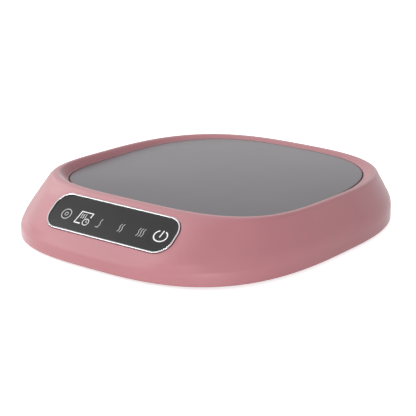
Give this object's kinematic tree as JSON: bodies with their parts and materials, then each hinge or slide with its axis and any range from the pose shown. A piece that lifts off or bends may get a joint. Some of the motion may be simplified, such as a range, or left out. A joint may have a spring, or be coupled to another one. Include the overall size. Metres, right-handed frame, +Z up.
{
  "type": "electric mug warmer",
  "caption": "Slim electric mug warmer with a rounded-square heating plate sunk inside a raised lip, and a sloped control panel with two press keys and lit marks.",
  "frame": {"origin": "middle of the footprint, on the surface the warmer stands on", "axes": "+Z up; X across the width; the control panel faces -Y and the cord outlet faces +Y"},
  "size_m": [0.1342, 0.152, 0.0234],
  "materials": {
    "housing_pink": "soft-touch satin",
    "cover_pink": "fine-textured satin",
    "foot_rubber": "matt",
    "screw_steel": "zinc plated",
    "plate_glass": "opaque grey, satin",
    "gasket_silicone": "matt black",
    "spreader_aluminium": "mill finish",
    "film_polyimide": "amber film",
    "insulation_felt": "white felt",
    "shield_steel": "zinc plated",
    "sensor_body": "epoxy coated",
    "fuse_ceramic": "white glazed",
    "bezel_chrome": "bright plated",
    "lens_smoke": "dark smoked, glossy",
    "key_smoke": "dark smoked, glossy",
    "plunger_white": "matt",
    "switch_black": "matt",
    "light_box_white": "matt white",
    "led_clear": "clear",
    "board_green": "solder mask",
    "ribbon_grey": "grey cable",
    "capacitor_yellow": "moulded case",
    "capacitor_blue": "sleeved can",
    "terminal_green": "moulded",
    "sink_aluminium": "plain",
    "fuse_glass": "clear tube with plated caps",
    "lead_red": "silicone sleeved",
    "gland_rubber": "matt"
  },
  "bodies": {
    "body": {"upper_housing": "housing_pink", "base_cover": "cover_pink", "rubber_feet": "foot_rubber", "housing_screws": "screw_steel", "heating_plate": "plate_glass", "plate_gasket": "gasket_silicone", "heat_spreader": "spreader_aluminium", "heating_film": "film_polyimide", "insulation_pad": "insulation_felt", "heat_shield": "shield_steel", "shield_screws": "screw_steel", "thermistor": "sensor_body", "thermal_fuse": "fuse_ceramic", "fuse_clip": "shield_steel", "panel_bezel": "bezel_chrome", "panel_lens": "lens_smoke", "tact_switches": "switch_black", "light_box": "light_box_white", "indicator_leds": "led_clear", "panel_board": "board_green", "panel_screws": "screw_steel", "panel_ribbon": "ribbon_grey", "ribbon_plug": "plunger_white", "power_board": "board_green", "board_screws": "screw_steel", "dropper_capacitor": "capacitor_yellow", "terminal_block": "terminal_green", "heat_sink": "sink_aluminium", "triac": "switch_black", "smoothing_capacitor": "capacitor_blue", "mains_fuse": "fuse_glass", "heater_leads": "lead_red", "cord_gland": "gland_rubber"},
    "timer": {"timer_key": "key_smoke", "timer_plunger": "plunger_white"},
    "power": {"power_key": "key_smoke", "power_plunger": "plunger_white"}
  },
  "joints": [
    {"name": "timer_press", "type": "slide", "parent": "body", "child": "timer", "axis": [0, 0.6225, -0.7826], "range_m": [0, 0.0003], "stiffness_N_per_m": 4000, "springref_m": -0.0001},
    {"name": "power_press", "type": "slide", "parent": "body", "child": "power", "axis": [0, 0.6225, -0.7826], "range_m": [0, 0.0003], "stiffness_N_per_m": 4000, "springref_m": -0.0001}
  ]
}
